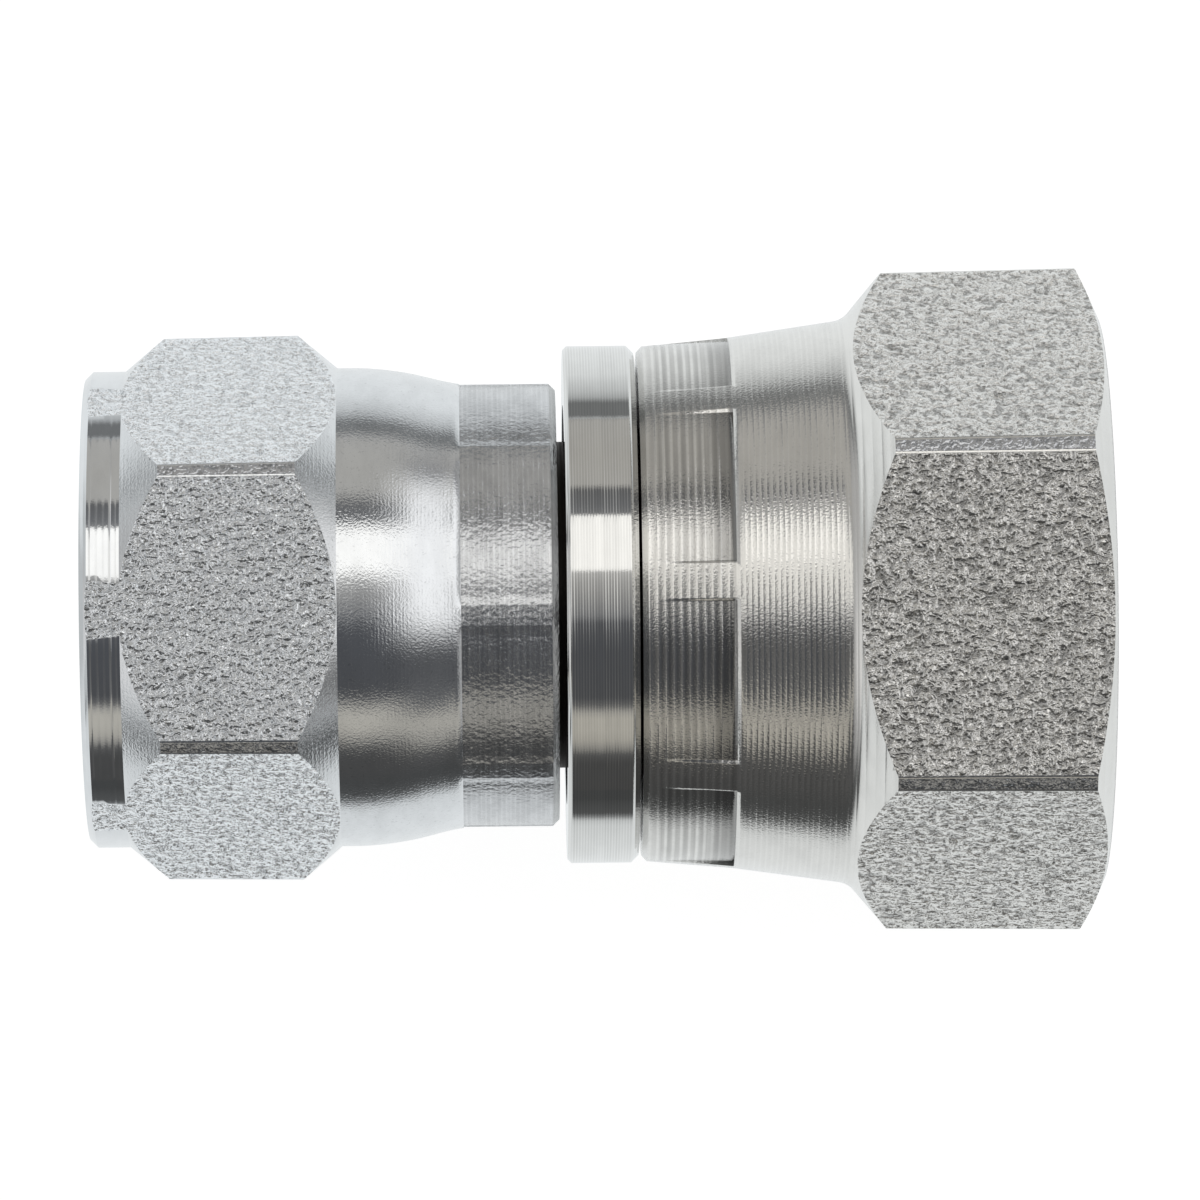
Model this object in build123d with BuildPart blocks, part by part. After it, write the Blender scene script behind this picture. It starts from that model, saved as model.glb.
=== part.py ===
"""Hydraulic swivel adapter: one turned body with a swivel nut crimped on at each end.

+X runs along the flow axis from the small nut to the large one, and the origin is on that axis in the
middle of the body's collar. Lengths are millimetres, angles degrees. An axial distance named ..._out is
measured from the middle of the collar outwards, so it reads the same way at both ends.
"""

from build123d import *
from math import radians, sqrt, tan
import os

# Body: the collar between the nuts, and the bore drilled from both ends
collar_diameter = 24.1
collar_width = 3.3
collar_small_side_chamfer = 0.18
collar_large_side_chamfer = 0.34
head_edge_chamfer = 0.3
small_bore_diameter = 9.9
bore_step_out = 1.2  # where the wider bore from the large end stops
drill_point_angle = 118.0

# Fits that both ends share
shoulder_angle = 30.0  # from the axis, of the body's shoulders and the seats crimped on to them
swivel_float = 0.5  # axial travel before a nut's crimped seat meets its shoulder
thread_pass_clearance = 0.25  # radial, lets a nut's thread pass over the head before crimping
neck_clearance = 0.2  # radial, between a neck and the skirt crimped round it
head_clearance = 0.3  # radial, between a head and the nut's plain bore
thread_end_clearance = 0.25  # axial, from the body's seat to the first full thread
relief_clearance = 0.12  # radial, of the thread relief beyond the thread's major radius
mouth_lead_in = 0.3  # radial, of the mouth's chamfer beyond the thread's major radius
skirt_bore_chamfer = 0.3
die_count = 8
forging_draft = 0.8  # both hexagons widen towards +X

# Small end of the body, a 37 degree flare seat behind a 3/4-16 UNF thread
small_thread_minor = 17.5
small_thread_height = 0.775
small_shoulder_height = 0.9
small_neck_length = 5.9
small_head_length = 5.1
small_rim_width = 0.35
flare_angle = 37.0

# Large end of the body, a 60 degree cone behind a G 1/2 thread
large_thread_minor = 18.63
large_thread_height = 1.16
large_shoulder_height = 1.1
large_neck_length = 2.75
large_head_length = 3.3
cone_angle = 30.0
cone_land = 0.25
cone_length = 3.14
cone_tip_wall = 1.0  # radial, left round the bore at the cone's tip

# Small nut, from its skirt out to its mouth
small_nut_gap = 0.36
small_crimp_depth = 0.83  # radial, how far the dies closed the band in from the barrel
small_crimp_length = 4.45
small_crimp_edge = 0.3
small_crimp_step = 0.11
small_taper_foot = 0.55
small_taper_length = 3.35
small_taper_round = 7.0
small_barrel_proud = 0.04  # radial, of the barrel over the middle of the flats
small_barrel_length = 2.3
small_hex_wall = 1.575  # radial, from the thread's major radius out to the middle of a flat
small_hex_length = 9.85
small_hex_corner_flat = 0.6
small_hex_chamfer_angle = 40.0
small_nose_inset = 0.015  # radial, of the nose under the middle of the flats
small_nose_length = 1.85
small_nose_edge = 0.35
small_relief_width = 2.0
small_die_sector = 40.0
small_die_bite = 0.07
small_die_phase = 25.0  # about +X, from a flat's middle to the middle of a die's mark

# Large nut, from its skirt out to its mouth
large_nut_gap = 0.14
large_skirt_wall = 3.815  # radial, at the skirt's end
large_skirt_edge = 0.25
large_crimp_length = 4.25
large_crimp_angle = 5.2
large_taper_length = 5.36
large_taper_angle = 8.2
large_hex_wall = 3.025  # radial, from the thread's major radius out to the middle of a flat
large_hex_length = 11.84
large_hex_corner_flat = 0.58
large_hex_back_angle = 50.0
large_hex_front_angle = 66.0
large_face_inset = 0.3
large_relief_width = 2.4
large_die_sector = 36.5
large_die_bite = 0.16
large_die_reach = 3.35
large_die_phase = 15.0
large_nut_turn = 2.7  # about +X, as the free nut lies


def rise(length, angle):
    """Radial rise of a slope over an axial length, its angle taken from the axis."""
    return length * tan(radians(angle))


def run(height, angle):
    """Axial length of a slope over a radial height, its angle taken from the axis."""
    return height / tan(radians(angle))


def corner(section, out, radius):
    """The corner of a section at this axial distance and radius."""
    return section.vertices().sort_by_distance((out, radius))[0]


# Where each feature ends, worked outwards from the collar's faces
collar_face = collar_width / 2
small_skirt_out = collar_face + small_nut_gap
small_crimp_out = small_skirt_out + small_crimp_length
small_taper_out = small_crimp_out + small_taper_length
small_barrel_out = small_taper_out + small_barrel_length
small_hex_out = small_barrel_out + small_hex_length
small_mouth_out = small_hex_out + small_nose_length
large_skirt_out = collar_face + large_nut_gap
large_crimp_out = large_skirt_out + large_crimp_length
large_taper_out = large_crimp_out + large_taper_length
large_mouth_out = large_taper_out + large_hex_length

# The body's heads pass through the threads, and each nut closes behind its head
small_head_radius = small_thread_minor / 2 - thread_pass_clearance
small_neck_radius = small_head_radius - small_shoulder_height
small_neck_out = collar_face + small_neck_length
small_head_out = small_neck_out + small_head_length
small_rim_radius = small_head_radius - small_rim_width
large_head_radius = large_thread_minor / 2 - thread_pass_clearance
large_neck_radius = large_head_radius - large_shoulder_height
large_neck_out = collar_face + large_neck_length
large_head_out = large_neck_out + large_head_length
cone_base_radius = large_head_radius - cone_land
cone_tip_radius = cone_base_radius - rise(cone_length, cone_angle)
cone_tip_out = large_head_out + cone_length
small_bore_radius = small_bore_diameter / 2
large_bore_radius = cone_tip_radius - cone_tip_wall
collar_radius = collar_diameter / 2

# The body's half section, from the small end's rim over the collar to the cone, and back along the bore
body_outline = [
    (-small_head_out, small_rim_radius),
    (-small_head_out, small_head_radius),
    (-small_neck_out - run(small_shoulder_height, shoulder_angle), small_head_radius),
    (-small_neck_out, small_neck_radius),
    (-collar_face, small_neck_radius),
    (-collar_face, collar_radius),
    (collar_face, collar_radius),
    (collar_face, large_neck_radius),
    (large_neck_out, large_neck_radius),
    (large_neck_out + run(large_shoulder_height, shoulder_angle), large_head_radius),
    (large_head_out, large_head_radius),
    (large_head_out, cone_base_radius),
    (cone_tip_out, cone_tip_radius),
    (cone_tip_out, large_bore_radius),
    (bore_step_out, large_bore_radius),
    (bore_step_out - run(large_bore_radius - small_bore_radius, drill_point_angle / 2), small_bore_radius),
    (run(small_rim_radius - small_bore_radius, flare_angle) - small_head_out, small_bore_radius),
]

with BuildPart() as adapter_body:
    with BuildSketch(Plane.XZ) as body_section:
        with BuildLine():
            Polyline(*body_outline, close=True)
        make_face()
        chamfer(corner(body_section, -collar_face, collar_radius), collar_small_side_chamfer)
        chamfer(corner(body_section, collar_face, collar_radius), collar_large_side_chamfer)
        chamfer(corner(body_section, -small_head_out, small_head_radius), head_edge_chamfer)
    revolve(axis=Axis.X)


def nut_bore(mouth, seat, head_radius, neck_radius, neck_end, skirt_end, minor, height, relief_width):
    """A nut's inside from its mouth to its skirt's end: lead-in, thread bore, relief, plain bore and seat.

    The seat is parallel to the body's shoulder, whose foot is at neck_end, and lies swivel_float behind it.
    """
    thread_radius = minor / 2
    mouth_radius = thread_radius + height + mouth_lead_in
    relief_radius = thread_radius + height + relief_clearance
    thread_end = seat + thread_end_clearance
    plain_radius = head_radius + head_clearance
    skirt_radius = neck_radius + neck_clearance
    seat_foot = neck_end - swivel_float
    return [
        (mouth, mouth_radius),
        (mouth - (mouth_radius - thread_radius), thread_radius),
        (thread_end, thread_radius),
        (thread_end - (relief_radius - thread_radius), relief_radius),
        (thread_end - relief_width, relief_radius),
        (thread_end - relief_width, plain_radius),
        (seat_foot + run(plain_radius - neck_radius, shoulder_angle), plain_radius),
        (seat_foot + run(skirt_radius - neck_radius, shoulder_angle), skirt_radius),
        (skirt_end + skirt_bore_chamfer, skirt_radius),
        (skirt_end, skirt_radius + skirt_bore_chamfer),
    ]


# The small nut's half section: crimped band, taper, barrel, hexagon and nose, then its inside
small_flat_radius = small_thread_minor / 2 + small_thread_height + small_hex_wall
small_blank_radius = 2 * small_flat_radius / sqrt(3)
small_barrel_radius = small_flat_radius + small_barrel_proud
small_nose_radius = small_flat_radius - small_nose_inset
small_crimp_radius = small_barrel_radius - small_crimp_depth
small_taper_foot_radius = small_crimp_radius + small_crimp_step
small_back_chamfer = run(small_blank_radius - small_barrel_radius, small_hex_chamfer_angle)
small_front_chamfer = run(small_blank_radius - small_nose_radius, small_hex_chamfer_angle)
small_hex_middle = (small_barrel_out + small_hex_out) / 2
small_outside = [
    (small_skirt_out, small_crimp_radius),
    (small_crimp_out, small_crimp_radius),
    (small_crimp_out, small_taper_foot_radius),
    (small_crimp_out + small_taper_foot, small_taper_foot_radius),
    (small_taper_out, small_barrel_radius),
    (small_barrel_out, small_barrel_radius),
    (small_barrel_out + small_back_chamfer, small_blank_radius),
    (small_hex_out - small_front_chamfer, small_blank_radius),
    (small_hex_out, small_nose_radius),
    (small_mouth_out, small_nose_radius),
]
small_inside = nut_bore(
    mouth=small_mouth_out,
    seat=small_head_out,
    head_radius=small_head_radius,
    neck_radius=small_neck_radius,
    neck_end=small_neck_out,
    skirt_end=small_skirt_out,
    minor=small_thread_minor,
    height=small_thread_height,
    relief_width=small_relief_width,
)
small_die_surface = [
    (small_skirt_out, small_crimp_radius - small_die_bite),
    (small_crimp_out, small_crimp_radius - small_die_bite),
    (small_crimp_out, small_barrel_radius),
    (small_skirt_out, small_barrel_radius),
]

with BuildPart() as small_swivel_nut:
    # The forged blank: a drafted hexagon with blunt corners, and a round skirt
    with BuildSketch(Plane.YZ.offset(-small_mouth_out)) as small_blank:
        RegularPolygon(
            small_flat_radius - rise(small_mouth_out - small_hex_middle, forging_draft),
            side_count=6,
            major_radius=False,
        )
        chamfer(small_blank.vertices(), small_hex_corner_flat / sqrt(3))
    extrude(amount=small_mouth_out - small_barrel_out, taper=-forging_draft)
    with BuildSketch(Plane.YZ.offset(-small_barrel_out)):
        Circle(small_blank_radius)
    extrude(amount=small_barrel_out - small_skirt_out)

    # Turned to its section, inside and out
    with BuildSketch(Plane.back) as small_section:
        with BuildLine():
            Polyline(*small_outside, *small_inside, close=True)
        make_face()
        chamfer(corner(small_section, small_skirt_out, small_crimp_radius), small_crimp_edge)
        fillet(corner(small_section, small_taper_out, small_barrel_radius), small_taper_round)
        chamfer(corner(small_section, small_mouth_out, small_nose_radius), small_nose_edge)
    revolve(axis=Axis.X, mode=Mode.INTERSECT)

    # The crimping dies flatten the band and leave low ridges between them
    for die in range(die_count):
        die_start = small_die_phase + die * 360 / die_count - small_die_sector / 2
        with BuildSketch(Plane.back.rotated((-die_start, 0, 0))):
            with BuildLine():
                Polyline(*small_die_surface, close=True)
            make_face()
        revolve(axis=Axis.X, revolution_arc=small_die_sector, mode=Mode.SUBTRACT)


# The large nut's half section: two-stage skirt and hexagon, then its inside
large_flat_radius = large_thread_minor / 2 + large_thread_height + large_hex_wall
large_blank_radius = 2 * large_flat_radius / sqrt(3)
large_face_radius = large_flat_radius - large_face_inset
large_skirt_radius = large_neck_radius + neck_clearance + large_skirt_wall
large_crimp_radius = large_skirt_radius + rise(large_crimp_length, large_crimp_angle)
large_taper_radius = large_crimp_radius + rise(large_taper_length, large_taper_angle)
large_back_chamfer = run(large_blank_radius - large_taper_radius, large_hex_back_angle)
large_front_chamfer = run(large_blank_radius - large_face_radius, large_hex_front_angle)
large_hex_middle = (large_taper_out + large_mouth_out) / 2
large_outside = [
    (large_skirt_out, large_skirt_radius),
    (large_crimp_out, large_crimp_radius),
    (large_taper_out, large_taper_radius),
    (large_taper_out + large_back_chamfer, large_blank_radius),
    (large_mouth_out - large_front_chamfer, large_blank_radius),
    (large_mouth_out, large_face_radius),
]
large_inside = nut_bore(
    mouth=large_mouth_out,
    seat=cone_tip_out,
    head_radius=large_head_radius,
    neck_radius=large_neck_radius,
    neck_end=large_neck_out,
    skirt_end=large_skirt_out,
    minor=large_thread_minor,
    height=large_thread_height,
    relief_width=large_relief_width,
)

# Each die bites deepest at the step where it stopped, and its mark fades out towards the skirt's end
large_mark_out = large_crimp_out - large_die_reach
large_mark_radius = large_crimp_radius - rise(large_die_reach, large_crimp_angle)
large_die_surface = [
    (large_mark_out, large_mark_radius),
    (large_crimp_out, large_crimp_radius - large_die_bite),
    (large_crimp_out, large_taper_radius),
    (large_mark_out, large_taper_radius),
]

with BuildPart() as large_swivel_nut:
    # The forged blank: a round skirt, and a drafted hexagon with blunt corners
    with BuildSketch(Plane.YZ.offset(large_skirt_out)):
        Circle(large_blank_radius)
    extrude(amount=large_taper_out - large_skirt_out)
    with BuildSketch(Plane.YZ.offset(large_taper_out)) as large_blank:
        RegularPolygon(
            large_flat_radius - rise(large_hex_middle - large_taper_out, forging_draft),
            side_count=6,
            major_radius=False,
            rotation=large_nut_turn,
        )
        chamfer(large_blank.vertices(), large_hex_corner_flat / sqrt(3))
    extrude(amount=large_hex_length, taper=-forging_draft)

    # Turned to its section, inside and out
    with BuildSketch(Plane.front) as large_section:
        with BuildLine():
            Polyline(*large_outside, *large_inside, close=True)
        make_face()
        chamfer(corner(large_section, large_skirt_out, large_skirt_radius), large_skirt_edge)
    revolve(axis=Axis.X, mode=Mode.INTERSECT)

    # Eight separate marks of the crimping dies
    for die in range(die_count):
        die_start = large_nut_turn + large_die_phase + die * 360 / die_count - large_die_sector / 2
        with BuildSketch(Plane.front.rotated((die_start, 0, 0))):
            with BuildLine():
                Polyline(*large_die_surface, close=True)
            make_face()
        revolve(axis=Axis.X, revolution_arc=large_die_sector, mode=Mode.SUBTRACT)


pieces = {
    "adapter_body": adapter_body,
    "small_swivel_nut": small_swivel_nut,
    "large_swivel_nut": large_swivel_nut,
}

os.makedirs("parts", exist_ok=True)
for name, piece in pieces.items():
    piece.part.label = name
    export_step(piece.part, f"parts/{name}.step")
    print(name, piece.part.is_valid, len(piece.part.solids()), round(piece.part.volume, 2))
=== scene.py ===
"""Hydraulic swivel adapter: its turned body and the swivel nut crimped on at each end, dressed.

The file is laid out as an add-on. Run as a script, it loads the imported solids, models each piece
again round the flow axis with its threads, rough flats and crimping marks, and sets a stage.
+X runs from the small nut to the large one. The tables of corners are in millimetres.
"""

import math

import bmesh
import bpy
from bpy.props import FloatProperty, FloatVectorProperty, PointerProperty
from mathutils import Matrix, Vector, noise


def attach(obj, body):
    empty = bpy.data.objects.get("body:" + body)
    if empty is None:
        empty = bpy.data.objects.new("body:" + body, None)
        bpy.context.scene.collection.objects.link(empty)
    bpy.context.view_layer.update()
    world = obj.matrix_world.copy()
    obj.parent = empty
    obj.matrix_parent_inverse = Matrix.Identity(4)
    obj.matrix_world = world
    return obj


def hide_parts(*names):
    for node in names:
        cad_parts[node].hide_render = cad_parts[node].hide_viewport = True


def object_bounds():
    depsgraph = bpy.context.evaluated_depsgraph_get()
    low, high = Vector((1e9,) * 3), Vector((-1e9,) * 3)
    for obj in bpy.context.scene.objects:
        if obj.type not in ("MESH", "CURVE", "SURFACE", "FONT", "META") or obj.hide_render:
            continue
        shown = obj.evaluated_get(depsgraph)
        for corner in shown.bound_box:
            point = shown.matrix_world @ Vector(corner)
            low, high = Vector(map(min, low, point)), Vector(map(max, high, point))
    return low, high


bl_info = {
    "name": "Hydraulic swivel adapter",
    "version": (1, 0, 0),
    "blender": (4, 5, 0),
    "location": "3D View > Sidebar > Adapter",
    "description": "Models a straight hydraulic adapter with a swivel nut at each end",
    "category": "Add Mesh",
}

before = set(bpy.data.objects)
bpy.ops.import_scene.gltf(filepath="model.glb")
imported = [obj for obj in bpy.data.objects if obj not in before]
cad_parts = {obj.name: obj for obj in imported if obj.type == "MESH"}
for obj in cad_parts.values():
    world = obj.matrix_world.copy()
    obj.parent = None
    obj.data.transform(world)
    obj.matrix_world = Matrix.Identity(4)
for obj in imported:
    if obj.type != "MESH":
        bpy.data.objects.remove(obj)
CAD_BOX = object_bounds()

MM = 0.001
MICRON = 0.000001
COLUMNS = 216  # of faces round the axis
COLUMN = math.tau / COLUMNS
CUT_TOLERANCE = 1e-8
GRID_TOLERANCE = 5e-6
ROW_TOLERANCE = 1e-6
ANGLE_TOLERANCE = 1e-4
OUTSIDE_RADIUS = 9.95 * MM  # between the outside and the inside of a skirt where dies press it
SHARP = math.radians(24)  # edges sharper than this stay hard
FACING = 0.99
X_AXIS = (1, 0, 0)
ORIGIN = (0, 0, 0)
WHITE = (1, 1, 1)

# Hexagons: (middle along the axis, radius of the flats there, radius of the blunt corners there)
SIDES = 6
SMALL_HEXAGON = (-17.035 * MM, 11.09 * MM, 12.629 * MM)
LARGE_HEXAGON = (17.32 * MM, 13.488 * MM, 15.3605 * MM)
DRAFT = math.radians(0.8)  # how fast both widen towards +X
CORNER_REACH = 0.22 * MM
GRAIN_FRACTAL = (0.6, 2.1, 3)  # how the rough flats' grain gets finer: exponent, step and octaves

# Crimping marks
DIE_COUNT = 8
MARK_MIDDLE = math.radians(15)  # of the large nut's first mark, from the middle of a flat
MARK_COLUMNS = 22
MARK_START = 2.69 * MM
MARK_DEPTH = 0.16  # mm, which a mark reaches this far from its start:
MARK_LENGTH = 3.35  # mm

# Threads
THREAD_COLUMNS = 96
THREAD_SINK = 0.06 * MM
THREAD_FADE = 0.6  # turns

# Finishes by number, of the body and of a nut
COLLAR, INSIDE, NECK = range(3)
SKIRT, FLAT, CORNER, CRIMP, NOSE, BORE, MARK = range(7)
COLLAR_RADIUS = 9.6 * MM  # the body is collar further out than this
NECK_RADIUS = 7 * MM  # and neck further out than this, within NECK_REACH along the axis
NECK_REACH = 7.5 * MM

# Studio: (degrees from straight up towards +Y, level, warmth) of the light square to the axis
SQUARE_LIGHT = (
    (-180, 0.07, 0.0),
    (-75, 0.075, 0.0),
    (-70.5, 0.11, 0.0),
    (-67, 0.32, 0.1),
    (-63, 0.46, 0.14),
    (-58, 0.51, 0.14),
    (-52, 0.51, 0.14),
    (-49, 0.4, 0.1),
    (-46, 0.15, 0.0),
    (-42, 0.085, -0.1),
    (-18, 0.085, -0.15),
    (-8, 0.1, -0.12),
    (-5, 0.21, -0.05),
    (4, 0.32, 0.02),
    (10, 0.41, 0.03),
    (14.4, 0.52, 0.03),
    (15.6, 1.24, 0.04),
    (39.4, 1.24, 0.04),
    (40.6, 0.22, -0.03),
    (44, 0.17, -0.06),
    (52.6, 0.14, -0.03),
    (54.4, 0.46, 0.07),
    (70, 0.455, 0.08),
    (90, 0.47, 0.06),
    (92, 0.3, 0.0),
    (180, 0.2, 0.0),
)
# The same, of the light that comes slanting from the small end
SMALL_END_LIGHT = (
    (-180, 0.08, 0.0),
    (-70, 0.1, 0.0),
    (-65, 0.42, 0.12),
    (-51, 0.48, 0.14),
    (-46, 0.18, 0.0),
    (-22, 0.12, 0.0),
    (-14, 0.17, 0.0),
    (-8, 0.45, 0.0),
    (-2, 0.8, 0.03),
    (6, 0.95, 0.05),
    (37, 0.95, 0.05),
    (41, 0.5, 0.0),
    (50, 0.38, 0.0),
    (56, 0.46, 0.07),
    (90, 0.46, 0.06),
    (96, 0.3, 0.0),
    (180, 0.2, 0.0),
)
# The same, from the large end
LARGE_END_LIGHT = (
    (-180, 0.08, 0.0),
    (-80, 0.1, 0.0),
    (-76, 0.42, 0.12),
    (-60, 0.48, 0.14),
    (-55, 0.14, -0.05),
    (-30, 0.1, -0.08),
    (-22, 0.14, -0.05),
    (-14, 0.6, 0.0),
    (-6, 1.1, 0.0),
    (55, 1.1, 0.0),
    (66, 0.85, 0.0),
    (74, 0.3, -0.05),
    (79, 0.3, 0.0),
    (86, 0.42, 0.03),
    (100, 0.4, 0.0),
    (180, 0.2, 0.0),
)
# How far along the axis a direction leans where the light of each end takes over
SMALL_END_SLANT = (0.08, 0.26)
LARGE_END_SLANT = (0.14, 0.46)
END_SEAM = 0.05  # half the width over which the light of one end passes into that of the other
STRIP_SPREAD = 1.0  # how fast the strips draw together towards the small end
# How far it leans where the plain walls take over, and the end walls from them
WALL_SLANT = (0.55, 0.82)
WALL_LIGHT = 0.45
END_WALL_SLANT = (0.8, 0.97)
# Light of the end walls: (Y, Y, level, level) of a slope from one level to the other
SMALL_END_WALL = (-0.4, 0.4, 0.85, 0.5)
LARGE_END_WALL = (-0.35, -0.08, 0.15, 0.95)
LARGE_END_WALL_DIMMING = (0.3, 0.6, 1.0, 0.35)

# Studio: (distance from the axis, level) of the white floor, on its +Y side and on its -Y side
FLOOR_BEHIND = (
    (0.0, 0.82),
    (0.025, 0.92),
    (0.039, 0.87),
    (0.050, 0.75),
    (0.066, 0.64),
    (0.088, 0.48),
    (0.102, 0.3),
    (0.115, 0.2),
    (0.45, 0.2),
    (0.65, 0.35),
    (1.0, 0.47),
)
FLOOR_BEFORE = (
    (0.0, 0.82),
    (0.02, 0.88),
    (0.033, 0.84),
    (0.051, 0.77),
    (0.060, 0.66),
    (0.070, 0.25),
    (0.080, 0.1),
    (0.2, 0.07),
    (1.0, 0.07),
)
FLOOR_SPAN = 0.1  # the distance at which half of the floor's ramps is used
FLOOR_ENDS = (0.7, 1.5)  # slants along the axis between which the bands fade
FLOOR_ENDS_LEVEL = 0.62
FLOOR_SEAM = 0.01  # half the width over which one side of the floor passes into the other
FLOOR_GLOW = 0.9
FLOOR_MATT = 0.3  # what the camera sees of it besides the glow, so that it shows a soft shadow
FLOOR_PLAIN = 0.85  # what it sends back of diffuse light

CAMERA_LIFT = 0.20 * MM
CAMERA_SENSOR = 36  # mm
CAMERA_CLIP = (0.01, 10)

# Colours that pieces share
CRIMP_COLOUR = (0.69, 0.70, 0.715)
FLAT_COLOUR = (0.88, 0.90, 0.92)
CORNER_COLOUR = (0.6, 0.61, 0.63)
GAP_SHADE_COLOUR = (0.06, 0.055, 0.05)  # painted shade of the deep gaps beside the collar
FLOOR_COLOUR = (0.97, 1.0, 1.01)

# How much of the colour the darker parts of a finish keep; groove and pit shade are painted shade
WORN_SHADE = 0.55
GROOVE_SHADE = 0.3
SPECK_SHADE = 0.25
PIT_SHADE = 0.12
SHADOW_STRENGTH = 0.75  # share of the groove's shade where a shadow is deepest

# Cycles of the finishes' noise to the metre: along the axis, or along it and around it
DRIFT = 900.0
WEAR = 2600.0
SPECKS = 5200.0
STREAKS = (5200.0, 90.0)
HAIRS = (11000.0, 1700.0)
CLOUDS = (900.0, 380.0)

# Half sections: corners (x, radius) all the way round, outside first
BODY_SECTION = (
    (-12.65, 8.15),
    (-12.65, 8.2),
    (-12.35, 8.5),
    (-9.109, 8.5),
    (-7.55, 7.6),
    (-1.65, 7.6),
    (-1.65, 11.87),
    (-1.47, 12.05),
    (1.31, 12.05),
    (1.65, 11.71),
    (1.65, 7.965),
    (4.4, 7.965),
    (6.305, 9.065),
    (7.7, 9.065),
    (7.7, 8.815),
    (10.84, 7.002),
    (10.84, 6.002),
    (1.2, 6.002),
    (0.568, 4.95),
    (-8.403, 4.95),
)
SMALL_NUT_SECTION = (
    (-2.01, 10.01),
    (-2.31, 10.31),
    (-6.46, 10.31),
    (-6.46, 10.35),
    (-7.01, 10.44),
    (-9.81, 11.14),
    (-12.11, 11.14),
    (-14.109, 12.817),
    (-19.896, 12.817),
    (-21.96, 11.085),
    (-23.46, 11.085),
    (-23.81, 10.735),
    (-23.81, 9.825),
    (-23.51, 9.525),
    (-12.125, 9.525),
    (-12.005, 9.645),
    (-10.9, 9.645),
    (-10.9, 8.8),
    (-9.128, 8.8),
    (-7.396, 7.8),
    (-2.31, 7.8),
    (-2.01, 8.1),
)
LARGE_NUT_SECTION = (
    (1.79, 11.73),
    (2.04, 12.003),
    (6.04, 12.367),
    (6.05, 12.369),
    (11.4, 13.139),
    (13.457, 15.588),
    (22.177, 15.588),
    (23.24, 13.2),
    (23.24, 10.775),
    (22.94, 10.475),
    (11.213, 10.475),
    (11.09, 10.595),
    (8.69, 10.595),
    (8.69, 9.365),
    (6.325, 9.365),
    (4.246, 8.165),
    (2.09, 8.165),
    (1.79, 8.465),
)


class BodyProperties(bpy.types.PropertyGroup):
    """Sizes and finish of the turned body."""

    feed: FloatProperty(
        name="Feed",
        description="Distance from one turned groove to the next",
        default=0.00013,
        min=0.00002,
        unit="LENGTH",
        precision=5,
    )
    colour: FloatVectorProperty(
        name="Zinc",
        description="Colour of the bright zinc on the body",
        default=(0.80, 0.80, 0.785),
        min=0,
        max=1,
        subtype="COLOR",
    )


class SmallNutProperties(bpy.types.PropertyGroup):
    """Sizes and finish of the small swivel nut."""

    thread_pitch: FloatProperty(
        name="Thread pitch",
        description="Sixteen threads to the inch",
        default=0.0015875,
        unit="LENGTH",
        precision=5,
    )
    grain_height: FloatProperty(
        name="Grain height",
        description="How far the rough flats rise and fall",
        default=0.000020,
        unit="LENGTH",
        precision=6,
    )
    grid: FloatProperty(
        name="Flat grid",
        description="Spacing of the mesh on the rough flats",
        default=0.000145,
        min=0.00005,
        unit="LENGTH",
        precision=6,
    )
    colour: FloatVectorProperty(
        name="Zinc",
        description="Colour of the bright zinc, slightly blue",
        default=(0.79, 0.805, 0.82),
        min=0,
        max=1,
        subtype="COLOR",
    )


class LargeNutProperties(bpy.types.PropertyGroup):
    """Sizes and finish of the large swivel nut."""

    thread_pitch: FloatProperty(
        name="Thread pitch",
        description="Fourteen threads to the inch",
        default=0.001814,
        unit="LENGTH",
        precision=5,
    )
    feed: FloatProperty(
        name="Feed",
        description="Distance from one turned groove of the skirt to the next",
        default=0.00026,
        min=0.00002,
        unit="LENGTH",
        precision=5,
    )
    turn: FloatProperty(
        name="Turn",
        description="How far the free nut is turned from the small one, about the flow axis",
        default=math.radians(2.7),
        subtype="ANGLE",
    )
    grain_height: FloatProperty(
        name="Grain height",
        description="How far the rough flats rise and fall",
        default=0.000022,
        unit="LENGTH",
        precision=6,
    )
    grid: FloatProperty(
        name="Flat grid",
        description="Spacing of the mesh on the rough flats",
        default=0.00016,
        min=0.00005,
        unit="LENGTH",
        precision=6,
    )
    colour: FloatVectorProperty(
        name="Zinc",
        description="Colour of the bright zinc, slightly warm",
        default=(0.80, 0.79, 0.765),
        min=0,
        max=1,
        subtype="COLOR",
    )


class StageProperties(bpy.types.PropertyGroup):
    """Camera and floor."""

    distance: FloatProperty(
        name="Camera distance",
        description="From the camera to the flow axis",
        default=0.407,
        unit="LENGTH",
    )
    yaw: FloatProperty(
        name="Yaw",
        description="How far the large end is turned away from the camera",
        default=math.radians(0.8),
        subtype="ANGLE",
    )
    roll: FloatProperty(
        name="Roll",
        description="How far the adapter is turned in the picture",
        default=math.radians(0.63),
        subtype="ANGLE",
    )
    lens: FloatProperty(
        name="Lens",
        description="Focal length in millimetres",
        default=261.8,
        min=50,
    )
    floor_size: FloatProperty(
        name="Floor size",
        description="Width of the pale floor",
        default=3.0,
        unit="LENGTH",
    )


# Mesh: half sections, spinning, rows


def half_section(corners):
    """A closed wire through the corners of a section, above the axis."""
    bm = bmesh.new()
    points = [bm.verts.new((x * MM, 0, radius * MM)) for x, radius in corners]
    for a, b in zip(points, points[1:] + points[:1]):
        bm.edges.new((a, b))
    return bm


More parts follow.
